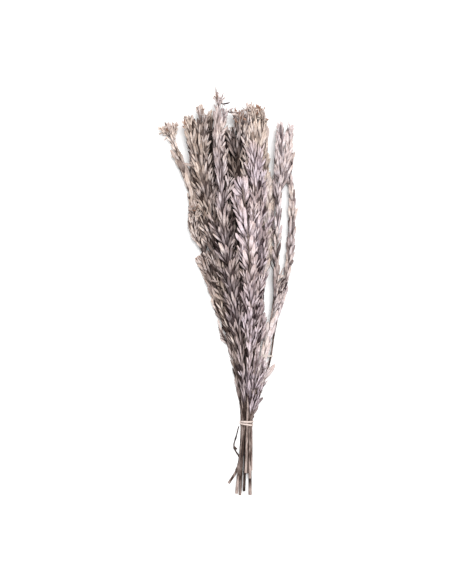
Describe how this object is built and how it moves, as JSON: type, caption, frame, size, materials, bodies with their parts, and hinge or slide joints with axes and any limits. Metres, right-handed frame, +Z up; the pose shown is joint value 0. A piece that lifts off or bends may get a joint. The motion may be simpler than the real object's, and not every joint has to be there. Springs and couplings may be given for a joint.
{
  "type": "dried eucalyptus bunch",
  "caption": "Bunch of dried eucalyptus lying flat: narrow leafy stems with small flared tips fan out from a flat two-turn tie round their bare cut ends.",
  "frame": {"origin": "middle of the tie's flat underside, on the surface that the bunch lies on", "axes": "+Y from the cut ends to the leafy tips, +Z up from the surface, +X to the right as seen from above with the tips away"},
  "size_m": [0.2124, 0.597, 0.0555],
  "materials": {
    "leaf_tan": "matt, dry leaf, warm tan",
    "leaf_brown": "matt, dry leaf, brown",
    "leaf_pale": "matt, dry leaf, pale",
    "leaf_rose": "matt, dry leaf, pinkish grey",
    "tie": "matt, cream ribbon",
    "thread": "matt, fine thread"
  },
  "bodies": {
    "root": {"leafy_stem_far_left": "leaf_tan", "leafy_stem_centre_back": "leaf_brown", "leafy_stem_right_centre": "leaf_tan", "leafy_stem_far_right": "leaf_pale", "leafy_stem_left": "leaf_tan", "leafy_stem_centre": "leaf_brown", "leafy_stem_crown": "leaf_tan", "leafy_stem_right": "leaf_pale", "leafy_stem_tall": "leaf_pale", "leafy_stem_front": "leaf_rose", "leafy_stem_front_right": "leaf_rose", "tie": "tie", "side_thread": "thread"}
  },
  "joints": []
}
